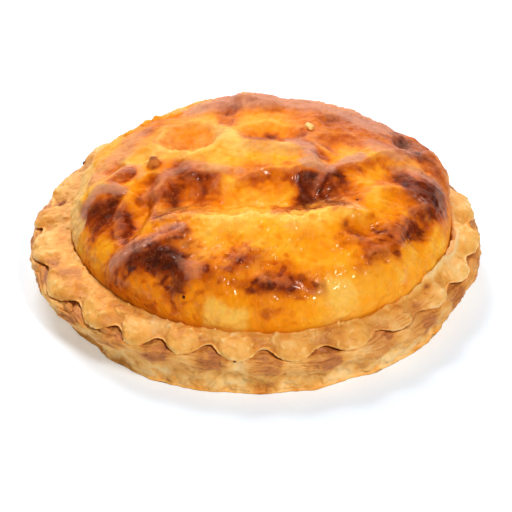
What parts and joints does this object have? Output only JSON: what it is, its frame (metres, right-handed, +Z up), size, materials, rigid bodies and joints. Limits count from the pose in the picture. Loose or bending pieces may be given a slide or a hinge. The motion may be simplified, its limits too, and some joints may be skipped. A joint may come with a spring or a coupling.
{
  "type": "rice tart",
  "caption": "Small round tart: fluted flaky pastry shell with a puffed, browned dome of rice custard.",
  "frame": {"origin": "on the table, under the middle of the pastry shell", "axes": "+Z up through the dome, -Y towards the front seen in the picture, +X to the right"},
  "size_m": [0.1073, 0.1045, 0.0364],
  "materials": {
    "baked_pastry": "flaky puff pastry, baked golden with browned layers under the rim",
    "baked_rice_custard": "glossy baked custard skin over rice, yellow to orange with dark brown patches"
  },
  "bodies": {
    "root": {"pastry_crust": "baked_pastry", "rice_filling": "baked_rice_custard"}
  },
  "joints": []
}
